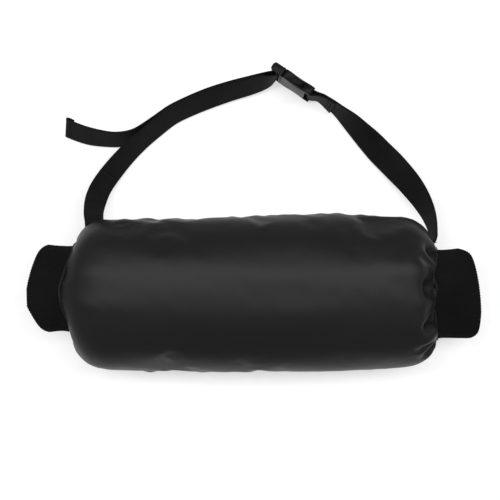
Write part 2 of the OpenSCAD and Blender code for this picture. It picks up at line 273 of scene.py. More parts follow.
def woven_material(name, dark, light, roughness, warp, weft, bump, specular, blotch=9.0):
    """Plain weave in the fabric's own coordinates. warp and weft are the thread pitches in metres."""
    material, tree = new_material(name)
    shader = tree.nodes["Principled BSDF"]
    x, y = fabric_place(tree)
    u, v = times(tree, x, math.pi / warp), times(tree, y, math.pi / weft)
    across = math_node(tree, "ABSOLUTE", math_node(tree, "SINE", u))
    along = math_node(tree, "ABSOLUTE", math_node(tree, "SINE", v))
    turn = times(tree, *[math_node(tree, "SINE", times(tree, w, 0.5)) for w in (u, v)])
    weave = math_node(tree, "ADD", times(tree, across, along), times(tree, turn, 0.5))
    place = object_place(tree)
    patches = noise_node(tree, place, blotch, 4.0)
    fibres = noise_node(tree, place, 900.0, 2.0)
    shade = mixed(tree, patches, 0.6, fibres, 0.4)
    set_colour(tree, shader, shade, (0.3, dark), (0.7, light))
    rough = range_node(tree, patches, roughness - 0.06, roughness + 0.06)
    tree.links.new(rough, shader.inputs["Roughness"])
    fuzz = bump_node(tree, fibres, 0.00008, 0.5)
    tree.links.new(bump_node(tree, weave, bump, 0.6, fuzz), shader.inputs["Normal"])
    set_values(shader, {"Specular IOR Level": specular})
    return material


def knit_material():
    """Rib knit: the ribs are in the mesh, and the stitches along each rib are in the bump."""
    material, tree = new_material("rib_knit")
    shader = tree.nodes["Principled BSDF"]
    x, y = fabric_place(tree)
    stitch, rib = 0.0013, 0.0027
    slant = math_node(tree, "ABSOLUTE", math_node(tree, "SINE", times(tree, y, math.pi / rib)))
    loops = math_node(tree, "SINE", mixed(tree, x, math.tau / stitch, slant, 2.4))
    place = object_place(tree)
    fibres = noise_node(tree, place, 1400.0, 3.0)
    patches = noise_node(tree, place, 25.0, 3.0)
    shade = math_node(tree, "ADD", times(tree, loops, 0.12), mixed(tree, fibres, 0.5, patches, 0.5))
    set_colour(tree, shader, shade, (0.3, (0.0030, 0.0030, 0.0033)), (0.75, (0.0075, 0.0075, 0.0080)))
    fuzz = bump_node(tree, fibres, 0.0002, 0.6)
    tree.links.new(bump_node(tree, loops, 0.00025, 0.7, fuzz), shader.inputs["Normal"])
    set_values(shader, {"Roughness": 0.85, "Specular IOR Level": 0.08})
    return material


def fleece_material():
    """Brushed fleece: short tufts in the bump and a soft sheen."""
    material, tree = new_material("fleece")
    shader = tree.nodes["Principled BSDF"]
    place = object_place(tree)
    tufts = noise_node(tree, place, 420.0, 5.0)
    patches = noise_node(tree, place, 30.0, 3.0)
    shade = mixed(tree, tufts, 0.6, patches, 0.4)
    set_colour(tree, shader, shade, (0.3, (0.012, 0.012, 0.013)), (0.75, (0.045, 0.045, 0.048)))
    tree.links.new(bump_node(tree, tufts, 0.001, 0.9), shader.inputs["Normal"])
    set_values(shader, {"Roughness": 0.95, "Specular IOR Level": 0.15, "Sheen Weight": 0.35})
    return material


def plastic_material():
    """Moulded acetal: a fine spark-eroded grain, slightly polished where fingers rub it."""
    material, tree = new_material("buckle_plastic")
    shader = tree.nodes["Principled BSDF"]
    place = object_place(tree)
    grain = noise_node(tree, place, 2200.0, 2.0)
    rubbed = noise_node(tree, place, 70.0, 3.0)
    set_colour(tree, shader, rubbed, (0.35, (0.0040, 0.0040, 0.0044)), (0.7, (0.0080, 0.0080, 0.0088)))
    tree.links.new(range_node(tree, rubbed, 0.28, 0.44), shader.inputs["Roughness"])
    tree.links.new(bump_node(tree, grain, 0.00005, 0.5), shader.inputs["Normal"])
    set_values(shader, {"Specular IOR Level": 0.08})
    return material


def thread_material():
    """Twisted thread: the plies show as slanting ridges."""
    material, tree = new_material("thread")
    shader = tree.nodes["Principled BSDF"]
    plies = tree.nodes.new("ShaderNodeTexWave")
    plies.bands_direction = "DIAGONAL"
    set_values(plies, {"Scale": 900.0, "Distortion": 1.0})
    tree.links.new(object_place(tree), plies.inputs["Vector"])
    ridges = plies.outputs["Fac"]
    set_colour(tree, shader, ridges, (0.2, (0.005, 0.005, 0.0055)), (0.8, (0.012, 0.012, 0.013)))
    tree.links.new(bump_node(tree, ridges, 0.0001, 0.7), shader.inputs["Normal"])
    set_values(shader, {"Roughness": 0.6, "Specular IOR Level": 0.12})
    return material


shell_cloth = woven_material("shell_fabric", (0.006, 0.006, 0.0063), (0.008, 0.008, 0.0084),
                             0.40, 0.0005, 0.0005, 0.00004, 0.18)
rim_cloth = woven_material("binding_fabric", (0.013, 0.013, 0.0135), (0.018, 0.018, 0.019),
                           0.45, 0.0005, 0.0005, 0.00004, 0.12)
strap_cloth = woven_material("webbing", (0.0040, 0.0040, 0.0043), (0.0080, 0.0080, 0.0085),
                             0.62, 0.0011, 0.0017, 0.0002, 0.08, 60.0)
rib_knit = knit_material()
fleece = fleece_material()
plastic = plastic_material()
thread = thread_material()


def finish_piece(obj, material):
    obj.data.materials.clear()
    obj.data.materials.append(material)
    return obj


# ---- Camera, lights and floor ----

view_x, view_y = -4.2, 47.6
view_height = 900
focal_share = 1.618  # focal length as a share of the sensor's width
floor_reach = 3000
floor_gap = 0.3


def place_camera():
    data = bpy.data.cameras.new("camera")
    data.sensor_width = 36
    data.lens = data.sensor_width * focal_share
    data.clip_start = 0.05
    data.clip_end = 20
    camera = bpy.data.objects.new("camera", data)
    camera.location = (view_x * MM, view_y * MM, view_height * MM)
    bpy.context.scene.collection.objects.link(camera)
    bpy.context.scene.camera = camera


def place_floor():
    """White paper, a little brighter than the lights make it."""
    material, tree = new_material("floor_paper")
    shader = tree.nodes["Principled BSDF"]
    tooth = noise_node(tree, object_place(tree), 60.0, 4.0)
    set_colour(tree, shader, tooth, (0.3, (0.52, 0.52, 0.52)), (0.7, (0.55, 0.55, 0.55)))
    set_values(shader, {"Roughness": 0.9, "Specular IOR Level": 0.1, "Emission Color": (1, 1, 1, 1),
                        "Emission Strength": 0.52})
    z = cad_low[2] / MM - floor_gap
    signs = [(-1, -1), (1, -1), (1, 1), (-1, 1)]
    corners = [(floor_reach * a, floor_reach * b, z) for a, b in signs]
    floor = surface_object("floor", corners, [(0, 1, 2, 3)], smooth=False)
    floor.data.materials.append(material)


def place_lights():
    """An even white surround and one long soft box above the strap."""
    world = bpy.data.worlds.new("studio")
    world.use_nodes = True
    set_values(world.node_tree.nodes["Background"], {"Color": (1, 1, 1, 1), "Strength": 0.45})
    bpy.context.scene.world = world
    bpy.context.scene.view_settings.view_transform = "Standard"
    data = bpy.data.lights.new("overhead_box", "AREA")
    data.shape = "RECTANGLE"
    data.size, data.size_y = 3.0, 0.40
    data.energy = 24
    light = bpy.data.objects.new("overhead_box", data)
    light.location = (0, 0.34, 1.45)
    light.rotation_euler = (-Vector(light.location)).to_track_quat("-Z", "Y").to_euler()
    bpy.context.scene.collection.objects.link(light)


place_camera()
place_floor()
place_lights()


# ---- Muff shell ----

def swell(x):
    return body_swell * np.maximum(0, 1 - (x / body_swell_reach) ** 2)


# How far the left seam lies in from the shell's end at each angle. The cuff was sewn on by hand feed.
left_seam_at = [0, 40, 63, 76, 86, 95, 111, 127, 145, 180, 225, 270, 315]
left_seam_in = [10, 10.5, 5, 3, -1, -1, 2, 6.5, 8.5, 7, 3, 1, 6]
left_seam_soft = range(-6, 7, 3)  # the table is averaged over these degrees
left_seam_narrow = 0.955
left_seam_y = 6.6
right_seam_y = 0.8
right_seam_dip = 5.5              # how far the right seam is drawn in at the top
right_seam_waves = [(9, 1, 1.3), (14, 0, 0.9)]  # (waves round the seam, phase, height)

# The body's long edges at some places along it: how far they lean out from a straight tube.
edge_x = [-200, -150, -90, 0, 80, 150, 200]
strap_edge_out = [0, 1.2, 0.4, 3.4, 5.2, 3.4, 0]
far_edge_out = [0, 1.0, 0.2, 0.0, 1.4, 3.4, 0]


def seam_place(end, angles):
    """Where the shell meets a cuff: x, y and z of the seam at each angle."""
    a = np.radians(angles)
    half_h = cuff_half_h + seam_gap
    y, z = section(cuff_half_w + seam_gap, side_z + half_h, side_z - half_h, angles)
    if end < 0:
        softened = [np.interp(angles + off, left_seam_at, left_seam_in, period=360)
                    for off in left_seam_soft]
        x = left_seam_x + np.mean(softened, axis=0)
        y = y * left_seam_narrow + left_seam_y
    else:
        x = right_seam_x - right_seam_dip * np.maximum(0, np.sin(a)) ** 2
        for waves, phase, height in right_seam_waves:
            x = x + height * np.sin(waves * a + phase)
        y = y + right_seam_y
    return x, y, z


def fullness(end, angles, turn):
    """How far the section has grown from cuff size to body size. A low power makes a square shoulder."""
    c, s = np.cos(np.radians(angles)), np.sin(np.radians(angles))
    strap_side, far_side, top = np.maximum(0, c), np.maximum(0, -c), np.maximum(0, s) ** 2
    if end < 0:
        return np.sin(turn) ** (1.45 - 0.6 * strap_side - 0.6 * far_side)
    from_seam = shoulder * (1 - np.cos(turn))
    neck = 1 - 0.75 * top * np.exp(-(from_seam / 11) ** 2)
    return np.sin(turn) ** (0.95 + 0.42 * strap_side - 0.3 * far_side - 0.33 * top) * neck


def body_surface(rows_end, rows_middle, cols):
    """The shell's outer surface as rows of points, from the left seam to the right seam."""
    angles = np.arange(cols) * 360 / cols
    rows = []
    first, last = left_seam_x + left_shoulder, right_seam_x - shoulder

    def full_section(x):
        y, z = section(body_half_w + swell(x), body_top_z + 2 * swell(x), 0, angles)
        c = np.cos(np.radians(angles))
        lean = np.where(c > 0, np.interp(x, edge_x, strap_edge_out), np.interp(x, edge_x, far_edge_out))
        return y + lean * np.abs(c) ** 1.5, z

    def cap_row(end, turn):
        sx, sy, sz = seam_place(end, angles)
        share = fullness(end, angles, turn)
        inner_x = first if end < 0 else last
        fy, fz = full_section(inner_x)
        x = inner_x + (sx - inner_x) * math.cos(turn)
        return np.stack([x, sy + (fy - sy) * share, sz + (fz - sz) * share], axis=-1)

    for i in range(rows_end):
        rows.append(cap_row(-1, math.pi / 2 * i / rows_end))
    for i in range(rows_middle + 1):
        x = first + (last - first) * i / rows_middle
        y, z = full_section(x)
        rows.append(np.stack([np.full(cols, x), y, z], axis=-1))
    for i in range(rows_end - 1, -1, -1):
        rows.append(cap_row(1, math.pi / 2 * i / rows_end))
    return np.array(rows)


def surface_normals(points):
    """Outward normals of a grid that closes on itself along its columns."""
    along = np.gradient(points, axis=0)
    around = np.roll(points, -1, axis=1) - np.roll(points, 1, axis=1)
    return unit(np.cross(around, along))


# Each pleat is (angle, half width in degrees, depth, reach from the seam).
right_pleats = [(48, 8, 3, 26), (83, 8, 4, 28), (112, 7, 3.5, 28), (148, 8, 4, 30), (172, 9, 5, 30),
                (205, 10, 6, 28), (238, 9, 6, 22), (270, 8, 5, 20), (300, 9, 6, 22), (335, 10, 6, 26),
                (10, 7, 4, 24)]
# A pocket is (angle, half width in degrees, depth, distance from the seam, half length). A negative
# depth makes a ridge.
right_pockets = [(22, 5, 4, 12, 9), (50, 5, 6.5, 14, 9), (62, 4, 3, 23, 11), (84, 6, 8.5, 18, 10),
                 (94, 4, -3, 12, 14), (111, 4, 7.5, 17, 11), (126, 5, -2.5, 20, 10), (134, 4, 4, 25, 10),
                 (148, 5, 5, 14, 10), (168, 6, 5, 13, 9), (190, 5, 4, 11, 9), (214, 6, 5, 12, 9),
                 (246, 6, 4, 10, 8), (283, 6, 4, 10, 8), (316, 6, 5, 11, 8), (343, 5, 4, 10, 8),
                 (4, 5, 4, 12, 9)]
left_pleats = [(28, 7, 3.2, 20), (47, 7, 1.6, 16), (14, 7, 2.4, 18), (-4, 9, 2, 18), (78, 8, 1.0, 14),
               (112, 9, 1.1, 16), (150, 8, 1.4, 16), (185, 9, 2.5, 20), (215, 9, 3, 20),
               (245, 8, 3, 18), (275, 8, 2.5, 18), (308, 9, 3, 20), (335, 9, 3, 20)]


def pleat_depth(pleats, angles, from_seam):
    """How far the gathers pull the shell in, at each row and angle."""
    depth = np.zeros((len(from_seam), len(angles)))
    for centre, half, deep, reach in pleats:
        off = (angles - centre + 180) % 360 - 180
        s = from_seam[:, None] / reach
        width = half * (1 + 1.3 * s)
        shape = np.exp(-(off[None, :] / width) ** 2)
        run = np.clip(s * 5, 0, 1) * np.exp(-(s * 1.15) ** 2)
        depth += deep * shape * run
    return depth


def pocket_depth(pockets, angles, from_seam):
    """How deep the short folds between the gathers are, at each row and angle."""
    depth = np.zeros((len(from_seam), len(angles)))
    for centre, half, deep, middle, reach in pockets:
        off = (angles - centre + 180) % 360 - 180
        run = np.exp(-((from_seam - middle) / reach) ** 2) * smooth_step(0, 5, from_seam)
        depth += deep * np.exp(-(off[None, :] / half) ** 2) * run[:, None]
    return depth


def row_distances(points):
    """Mean distance along the surface from the first row to each row."""
    steps = np.linalg.norm(np.diff(points, axis=0), axis=-1).mean(axis=1)
    return np.concatenate([[0], np.cumsum(steps)])


def gather(points):
    """Pulls the gathers in at both ends and lets the cloth between them stand out."""
    angles = np.arange(points.shape[1]) * 360 / points.shape[1]
    normals = surface_normals(points)
    from_left = row_distances(points)
    from_right = from_left[-1] - from_left
    right = pleat_depth(right_pleats, angles, from_right)
    left = pleat_depth(left_pleats, angles, from_left)
    stand = 2.4 * np.exp(-((from_right - 12) / 13) ** 2) * smooth_step(0, 7, from_right)
    stand = stand + 1.2 * np.exp(-((from_left - 9) / 9) ** 2) * smooth_step(0, 5, from_left)
    return points + normals * (stand[:, None] - right - left)[..., None]


sim_frames = 20
under_z = 1.5  # the shell lies on the floor below this height


def simulate_shell(points):
    """Cloth simulation of the padded shell: the stuffing presses out, the sewn ends stay put."""
    rows, cols = points.shape[:2]
    obj = surface_object("shell_simulation", points.reshape(-1, 3), grid_faces(rows, cols, close_cols=True))
    pins = obj.vertex_groups.new(name="sewn")
    held = list(range(2 * cols)) + list(range((rows - 2) * cols, rows * cols))
    pins.add(held, 1.0, "REPLACE")
    heights = points[..., 2].ravel()
    under = [i for i in range(2 * cols, (rows - 2) * cols) if heights[i] < under_z]
    pins.add(under, 0.6, "REPLACE")
    cloth = obj.modifiers.new("cloth", "CLOTH")
    settings = cloth.settings
    settings.quality = 6
    settings.mass = 0.25
    settings.tension_stiffness = settings.compression_stiffness = 18
    settings.shear_stiffness = 6
    settings.bending_stiffness = 0.6
    settings.tension_damping = settings.compression_damping = settings.shear_damping = 8
    settings.air_damping = 3
    settings.use_pressure = True
    settings.uniform_pressure_force = 4.0
    settings.vertex_group_mass = "sewn"
    settings.shrink_min = -0.045
    settings.effector_weights.gravity = 0
    cloth.collision_settings.use_collision = False
    cloth.collision_settings.use_self_collision = False
    scene = bpy.context.scene
    for number in range(1, sim_frames + 1):
        scene.frame_set(number)
    graph = bpy.context.evaluated_depsgraph_get()
    moved = np.empty(rows * cols * 3)
    obj.evaluated_get(graph).data.vertices.foreach_get("co", moved)
    scene.frame_set(1)
    bpy.data.objects.remove(obj)
    return moved.reshape(rows, cols, 3) / MM


def finer(points, times):
    """A finer grid through the same points, by cubic interpolation along rows and columns."""
    def cubic(p, closed):
        n = len(p)
        if closed:
            a, b, c, d = np.roll(p, 1, 0), p, np.roll(p, -1, 0), np.roll(p, -2, 0)
        else:
            padded = np.concatenate([[2 * p[0] - p[1]], p, [2 * p[-1] - p[-2]]])
            a, b, c, d = padded[:n - 1], padded[1:n], padded[2:n + 1], padded[3:n + 2]
        out = []
        for k in range(times):
            t = k / times
            out.append(0.5 * (2 * b + (c - a) * t + (2 * a - 5 * b + 4 * c - d) * t * t
                              + (3 * b - a - 3 * c + d) * t ** 3))
        mixed = np.stack(out, axis=1).reshape((-1,) + p.shape[1:])
        return mixed if closed else np.concatenate([mixed, p[-1:]])

    points = cubic(points, False)
    return cubic(points.transpose(1, 0, 2), True).transpose(1, 0, 2)


def calm(points, rounds):
    """Evens out single-vertex ripples without moving the sewn ends."""
    for _ in range(rounds):
        mean = (np.roll(points, 1, 1) + np.roll(points, -1, 1)) / 4
        mean[1:-1] += (points[2:] + points[:-2]) / 4
        points = points.copy()
        points[2:-2] = 0.5 * points[2:-2] + 0.5 * mean[2:-2]
    return points


def shell_surface():
    """The shell's surface, drawn in a little first so that the stuffing can press it out again."""
    start = gather(body_surface(16, 60, 144))
    middle = smooth_step(10, 60, row_distances(start)) * smooth_step(10, 60, row_distances(start)[::-1])
    start = start - surface_normals(start) * (2.5 * middle)[:, None, None]
    shift = simulate_shell(start) - start
    length = np.linalg.norm(shift, axis=-1, keepdims=True)
    from_left = row_distances(start)
    from_right = from_left[-1] - from_left
    most = 1.0 + 4.0 * smooth_step(8, 60, from_left) * smooth_step(4, 60, from_right)
    most = most[:, None, None]
    shape = start + shift * most * np.tanh(length / most) / np.maximum(length, 1e-9)
    shape[..., 2] = np.maximum(shape[..., 2], 0.0)
    return finer(calm(shape, 2), 3)


def add_shell():
    """The shell with its creases, its gathers at both ends and a seam along each side."""
    outer = shell_surface()
    normals = surface_normals(outer)
    flat_under = smooth_step(2, 14, outer[..., 2])
    creases = 0.4 * soft_noise(outer * (0.7, 1.2, 1.0), 46, 3) + 0.12 * soft_noise(outer, 21, 4)
    creased = (0.5 + 0.2 * smooth_step(20, 62, outer[..., 1])
               + 0.5 * smooth_step(120, 170, np.abs(outer[..., 0])))
    from_left = row_distances(outer)
    from_right = from_left[-1] - from_left
    angles = np.arange(outer.shape[1]) * 360 / outer.shape[1]
    drawn = 0.9 * np.exp(-(from_right / 15) ** 2) + 0.4 * np.exp(-(from_left / 13) ** 2)
    drawn = drawn * np.minimum(from_right, from_left).clip(0, 3) / 3
    folds = drawn[:, None] * soft_noise(outer * (0.25, 1.0, 1.0), 12, 5)
    pockets = pocket_depth(right_pockets, angles, from_right)
    from_side_seam = np.abs((angles + 90) % 180 - 90)
    groove = 0.9 * np.exp(-(from_side_seam / 1.1) ** 2)
    pucker = 0.6 * np.exp(-((from_side_seam - 3) / 3.5) ** 2) * soft_noise(outer * (1.0, 0.2, 0.2), 9, 6)
    outer = outer + normals * (creases * creased * flat_under + folds + pucker - pockets - groove)[..., None]
    outer[..., 2] = np.maximum(outer[..., 2], 0.0)
    inner = outer - surface_normals(outer) * shell_t
    rows, cols = outer.shape[:2]
    points = np.concatenate([outer, inner[::-1]]).reshape(-1, 3)
    along = row_distances(outer)
    u = np.concatenate([along, along[::-1], along[:1]])
    girth = np.linalg.norm(np.roll(outer, -1, 1) - outer, axis=-1)[rows // 2]
    v = np.concatenate([[0], np.cumsum(girth)])
    faces = grid_faces(2 * rows, cols, close_rows=True, close_cols=True)
    shell = surface_object("muff_shell", points, faces, grid_uvs(u, v))
    finish_piece(shell, shell_cloth)
    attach(shell, "muff")
    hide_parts("front_shell", "back_shell", "front_insulation", "back_insulation")


add_shell()


# ---- Stitches ----

def stitches(name, path, outward, pitch, length, sides=6):
    """Separate stitches along a path: each one rises out of the cloth and dives back in."""
    along = np.concatenate([[0], np.cumsum(np.linalg.norm(np.diff(path, axis=0), axis=1))])
    rings = 7
    points, faces = [], []
    for k in range(max(1, int(along[-1] / pitch))):
        s = k * pitch + (pitch - length) / 2 + np.linspace(0, length, rings)
        middle = np.stack([np.interp(s, along, path[:, i]) for i in range(3)], axis=-1)
        up = unit(np.stack([np.interp(s, along, outward[:, i]) for i in range(3)], axis=-1))
        arch = np.sin(np.linspace(0, math.pi, rings))
        middle = middle + up * ((arch ** 0.6 - 0.65) * thread_d * 0.75)[:, None]
        run = unit(np.gradient(middle, axis=0))
        side = unit(np.cross(run, up))
        top = np.cross(side, run)
        thick = thread_d / 2 * (0.55 + 0.45 * arch ** 0.5)
        turn = np.arange(sides) * math.tau / sides
        ring = (side[:, None] * np.cos(turn)[None, :, None] + top[:, None] * np.sin(turn)[None, :, None])
        base = len(points)
        points.extend((middle[:, None] + ring * thick[:, None, None]).reshape(-1, 3))
        faces.extend((grid_faces(rings, sides, close_cols=True) + base).tolist())
        faces.append([base + j for j in range(sides)][::-1])
        faces.append([base + (rings - 1) * sides + j for j in range(sides)])
    obj = surface_object(name, points, faces)
    return finish_piece(obj, thread)


# ---- Cuffs and their seams ----

ribs = 92
columns_per_rib = 6
rib_height = 0.2
fold_r = 1.5       # of the folded edge
cuff_tuck = 14     # how far a cuff reaches into the shell
cuff_ply = 1.3


def even_angles(count):
    """Angles that divide the cuff's girth into equal parts."""
    dense = np.linspace(0, 360, 3601)
    y, z = section(cuff_half_w, side_z + cuff_half_h, side_z - cuff_half_h, dense)
    girth = np.concatenate([[0], np.cumsum(np.hypot(np.diff(y), np.diff(z)))])
    return np.interp(np.arange(count) * girth[-1] / count, girth, dense), girth[-1]


def cuff_fold_x(end, angles):
    """Where the folded edge lies: the soft knit bows outwards at its middle."""
    c, s = np.cos(np.radians(angles)), np.sin(np.radians(angles))
    share = np.abs(c) ** 0.87
    under = np.maximum(0, -s)
    if end < 0:
        slant = np.where(c > 0, 11.0 * share ** 1.15, 12.5 * np.maximum(0, share - 0.4) / 0.6)
        return left_end_x + fold_r + slant + 4.5 * share ** 14 + 3.0 * under
    lean = np.sign(c) * share
    slant = np.maximum(0, 1.7 + 5.0 * lean + 2.0 * lean ** 2) + np.where(c > 0, 7.5, 6.0) * share ** 16
    return right_end_x - fold_r - slant - 2.0 * under


def add_cuff(end, name, node):
    """A double ply of rib knit: out along the outside, round the fold and back along the inside."""
    cols = ribs * columns_per_rib
    angles, girth = even_angles(cols)
    rib = rib_height * np.cos(np.arange(cols) * math.tau / columns_per_rib)
    seam_x = seam_place(end, angles)[0] + end * 0.3
    fold_x = cuff_fold_x(end, angles)
    outside = [(0, -cuff_tuck * (1 - k / 4)) for k in range(4)] + [(k / 22, 0) for k in range(23)]
    back = [(1 - k / 10, 0) for k in range(11)] + [(0, -cuff_tuck * k / 3) for k in range(1, 4)]
    rows = []

    def row(share, extra, inset):
        x = seam_x + (fold_x - seam_x) * share + end * extra
        waist = 1.4 * math.sin(math.pi * min(1, max(0, share)) ** 0.7)
        shrink = inset + waist
        y, z = section(cuff_half_w, side_z + cuff_half_h, side_z - cuff_half_h, angles)
        across, up = y / cuff_half_w, (z - side_z) / cuff_half_h
        narrow, seam_y, fold_y = (0.972, 6.4, 7.2) if end < 0 else (1.0, 0.8, 2.2)
        y = y * narrow
        centre_y = seam_y + (fold_y - seam_y) * share
        rows.append(np.stack([x, y - across * shrink + centre_y, z - up * shrink], axis=-1))

    for share, extra in outside:
        row(share, extra, -rib)
    for turn in [math.pi * k / 8 for k in range(1, 8)]:
        radius = fold_r + rib
        row(1, radius * math.sin(turn), fold_r - radius * math.cos(turn))
    for share, extra in back:
        row(share, extra, 2 * fold_r + rib)
    gap = [(0, -cuff_tuck), (0, 0), (0.33, 0), (0.66, 0), (1, 0)]
    for share, extra in gap:
        row(share, extra, 2 * fold_r - cuff_ply)
    for share, extra in gap[::-1]:
        row(share, extra, cuff_ply)
    grid = np.array(rows)
    centre = np.array([0, 3, side_z])
    sway = soft_noise(grid * (1, 0.6, 0.6), 34, 11 if end < 0 else 12) * 0.55
    free = smooth_step(4, 16, np.abs(grid[..., 0] - seam_x[None, :]))
    grid = grid + unit((grid - centre) * (0, 1, 1)) * (sway * free)[..., None]
    grid[..., 2] = np.maximum(grid[..., 2], side_z - cuff_half_h - 0.5)
    steps = np.linalg.norm(np.diff(grid, axis=0), axis=-1).mean(axis=1)
    along = np.concatenate([[0], np.cumsum(steps)])
    u = np.concatenate([along, [along[-1] + 1]])
    v = np.arange(cols + 1) * girth / cols
    faces = grid_faces(len(grid), cols, close_rows=True, close_cols=True)
    cuff = surface_object(name, grid.reshape(-1, 3), faces, grid_uvs(u, v))
    finish_piece(cuff, rib_knit)
    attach(cuff, "muff")
    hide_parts(node)


def add_seam_rim(end, name, node):
    """The folded edge that binds shell and cuff: a soft roll, puckered by its stitches."""
    cols, sides = 300, 12
    angles = np.arange(cols) * 360 / cols
    x, y, z = seam_place(end, angles)
    past_seam, width, height, stand = (1.6, 1.35, 1.15, 0.6) if end < 0 else (0.4, 1.2, 1.0, -0.6)
    centre = np.stack([x + end * past_seam, y, z], axis=-1)
    run = unit(np.roll(centre, -1, 0) - np.roll(centre, 1, 0))
    lengthways = np.broadcast_to(np.array([end, 0, 0.0]), centre.shape)
    out = unit(np.cross(run, lengthways) * end)
    out = out * np.sign((out * (centre - (0, 3, side_z))).sum(axis=1, keepdims=True))
    length = np.concatenate([[0], np.cumsum(np.linalg.norm(np.diff(centre, axis=0), axis=1))])
    pucker = 1 + 0.13 * np.sin(length * math.tau / 4.6) + 0.10 * soft_noise(centre, 15, 21)
    turn = np.arange(sides) * math.tau / sides
    offset = (lengthways[:, None] * (np.cos(turn) * width)[None, :, None]
              + out[:, None] * (stand + np.sin(turn)[None, :] * height * pucker[:, None])[..., None])
    grid = centre[:, None] + offset
    faces = grid_faces(cols, sides, close_rows=True, close_cols=True)
    u = np.concatenate([length, [length[-1] + 1]])
    v = np.arange(sides + 1) * 0.9
    rim = surface_object(name + "_rim", grid.reshape(-1, 3), faces, grid_uvs(u, v))
    finish_piece(rim, rim_cloth)
    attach(rim, "muff")
    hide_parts(node + "_binding")
    crest = centre + out * (stand + height)
    path = np.concatenate([crest, crest[:1]])
    sewn = stitches(name + "_stitches", path, np.concatenate([out, out[:1]]), 3.4, 2.7)
    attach(sewn, "muff")
    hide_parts(node + "_thread")


add_cuff(-1, "left_knit_cuff", "left_cuff")
add_cuff(1, "right_knit_cuff", "right_cuff")
add_seam_rim(-1, "left_seam", "left_seam")
add_seam_rim(1, "right_seam", "right_seam")


# ---- Lining ----

def add_lining():
    """The fleece of the hand cavity: a tube that widens inside each seam."""
    cols = 160
    angles = np.arange(cols) * 360 / cols
    x = np.concatenate([np.linspace(lining_low[0], lining_low[0] + 26, 10), np.linspace(
        lining_low[0] + 32, lining_high[0] - 32, 52), np.linspace(
            lining_high[0] - 26, lining_high[0], 10)])
    reach = np.minimum(x - lining_low[0], lining_high[0] - x)
    grown = np.sin(np.clip(reach / 26, 0, 1) * math.pi / 2)
    rows = []
    for place, share in zip(x, grown):
        half = cuff_half_w + (lining_high[1] - cuff_half_w) * share
        top = side_z + cuff_half_h + (lining_high[2] - side_z - cuff_half_h) * share
        low = side_z - cuff_half_h + (lining_low[2] - side_z + cuff_half_h) * share
        y, z = section(half, top, low, angles)
        rows.append(np.stack([np.full(cols, place), y + 1.5, z], axis=-1))
    outer = np.array(rows)
    pile = 0.35 * soft_noise(outer, 9, 31) + 0.9 * soft_noise(outer, 40, 32)
    inner = outer - surface_normals(outer) * (2.0 + pile * 0.4)[..., None]
    grid = np.concatenate([outer, inner[::-1]])
    faces = grid_faces(len(grid), cols, close_rows=True, close_cols=True)
    lining = surface_object("fleece_lining", grid.reshape(-1, 3), faces)
    finish_piece(lining, fleece)
    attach(lining, "muff")
    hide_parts("front_lining", "back_lining")


add_lining()


# ---- Webbing: a route is rows of middle point and direction across ----

release = next(j for j in frame["record"]["behaviour"]["joints"] if j["name"] == "buckle_release")
arms = [j for j in frame["record"]["behaviour"]["joints"] if j["name"].endswith("arm_squeeze")]
axis_u = -unit(np.array(release["axis"], float))
outer_pivot = np.array(next(j["pos_m"] for j in arms if j["name"] == "outer_arm_squeeze")) / MM
inner_pivot = np.array(next(j["pos_m"] for j in arms if j["name"] == "inner_arm_squeeze")) / MM
axis_v = unit(outer_pivot - inner_pivot)
axis_n = np.cross(axis_u, axis_v)
arm_root_u = 1.6
buckle_pos = (outer_pivot + inner_pivot) / 2 - arm_root_u * axis_u


def buckle_point(u, n):
    return np.concatenate([buckle_pos + u * axis_u + n * axis_n, axis_v])


def placed_route(places, outward):
    p = np.array(places, float)
    before, after = np.vstack([p[:1], p[:-1]]), np.vstack([p[1:], p[-1:]])
    run = unit((after - before)[:, :2])
    roll = np.radians(p[:, 3])
    across = np.stack([-run[:, 1] * outward * np.cos(roll), run[:, 0] * outward * np.cos(roll),
                       np.sin(roll)], axis=-1)
    return np.hstack([p[:, :3], across])


def smooth_route(route, steps):
    route = np.array(route, float)
    a, b = np.vstack([route[:1], route[:-2]]), route[:-1]
    c, d = route[1:], np.vstack([route[2:], route[-1:]])
    out = [0.5 * (2 * b + (c - a) * t + (2 * a - 5 * b + 4 * c - d) * t * t
                  + (3 * b - a - 3 * c + d) * t ** 3) for t in np.arange(steps) / steps]
    return np.vstack([np.stack(out, axis=1).reshape(-1, 6), route[-1:]])


def route_frame(route):
    """Run, across and face directions at every place of a route."""
    p = route[:, :3]
    run = unit(np.vstack([p[1:], p[-1:]]) - np.vstack([p[:1], p[:-1]]))
    across = unit(route[:, 3:])
    return run, across, unit(np.cross(run, across))


def beside(route, places, distance):
    """Places of a route, moved out of its face by a distance."""
    across, face = route_frame(route)[1:]
    places = list(places)
    return np.hstack([route[places, :3] + distance * face[places], across[places]])


def refine(route, longest):
    """More places along the same curve, none further than "longest" from the next."""
    p = route[:, :3]
    gap = np.maximum(np.linalg.norm(np.diff(p, axis=0), axis=1), 1e-6)[:, None]
    slope = np.diff(route, axis=0) / gap
    tangent = np.vstack([slope[:1], (slope[:-1] * gap[1:] + slope[1:] * gap[:-1]) / (gap[1:] + gap[:-1]),
                         slope[-1:]])
    out = []
    for i in range(len(gap)):
        count = max(1, math.ceil(gap[i, 0] / longest))
        for t in np.arange(count) / count:
            h = gap[i, 0]
            out.append((2 * t ** 3 - 3 * t * t + 1) * route[i] + (t ** 3 - 2 * t * t + t) * h * tangent[i]
                       + (3 * t * t - 2 * t ** 3) * route[i + 1] + (t ** 3 - t * t) * h * tangent[i + 1])
    out.append(route[-1])
    return np.array(out)


def route_length(route):
    return np.concatenate([[0], np.cumsum(np.linalg.norm(np.diff(route[:, :3], axis=0), axis=1))])


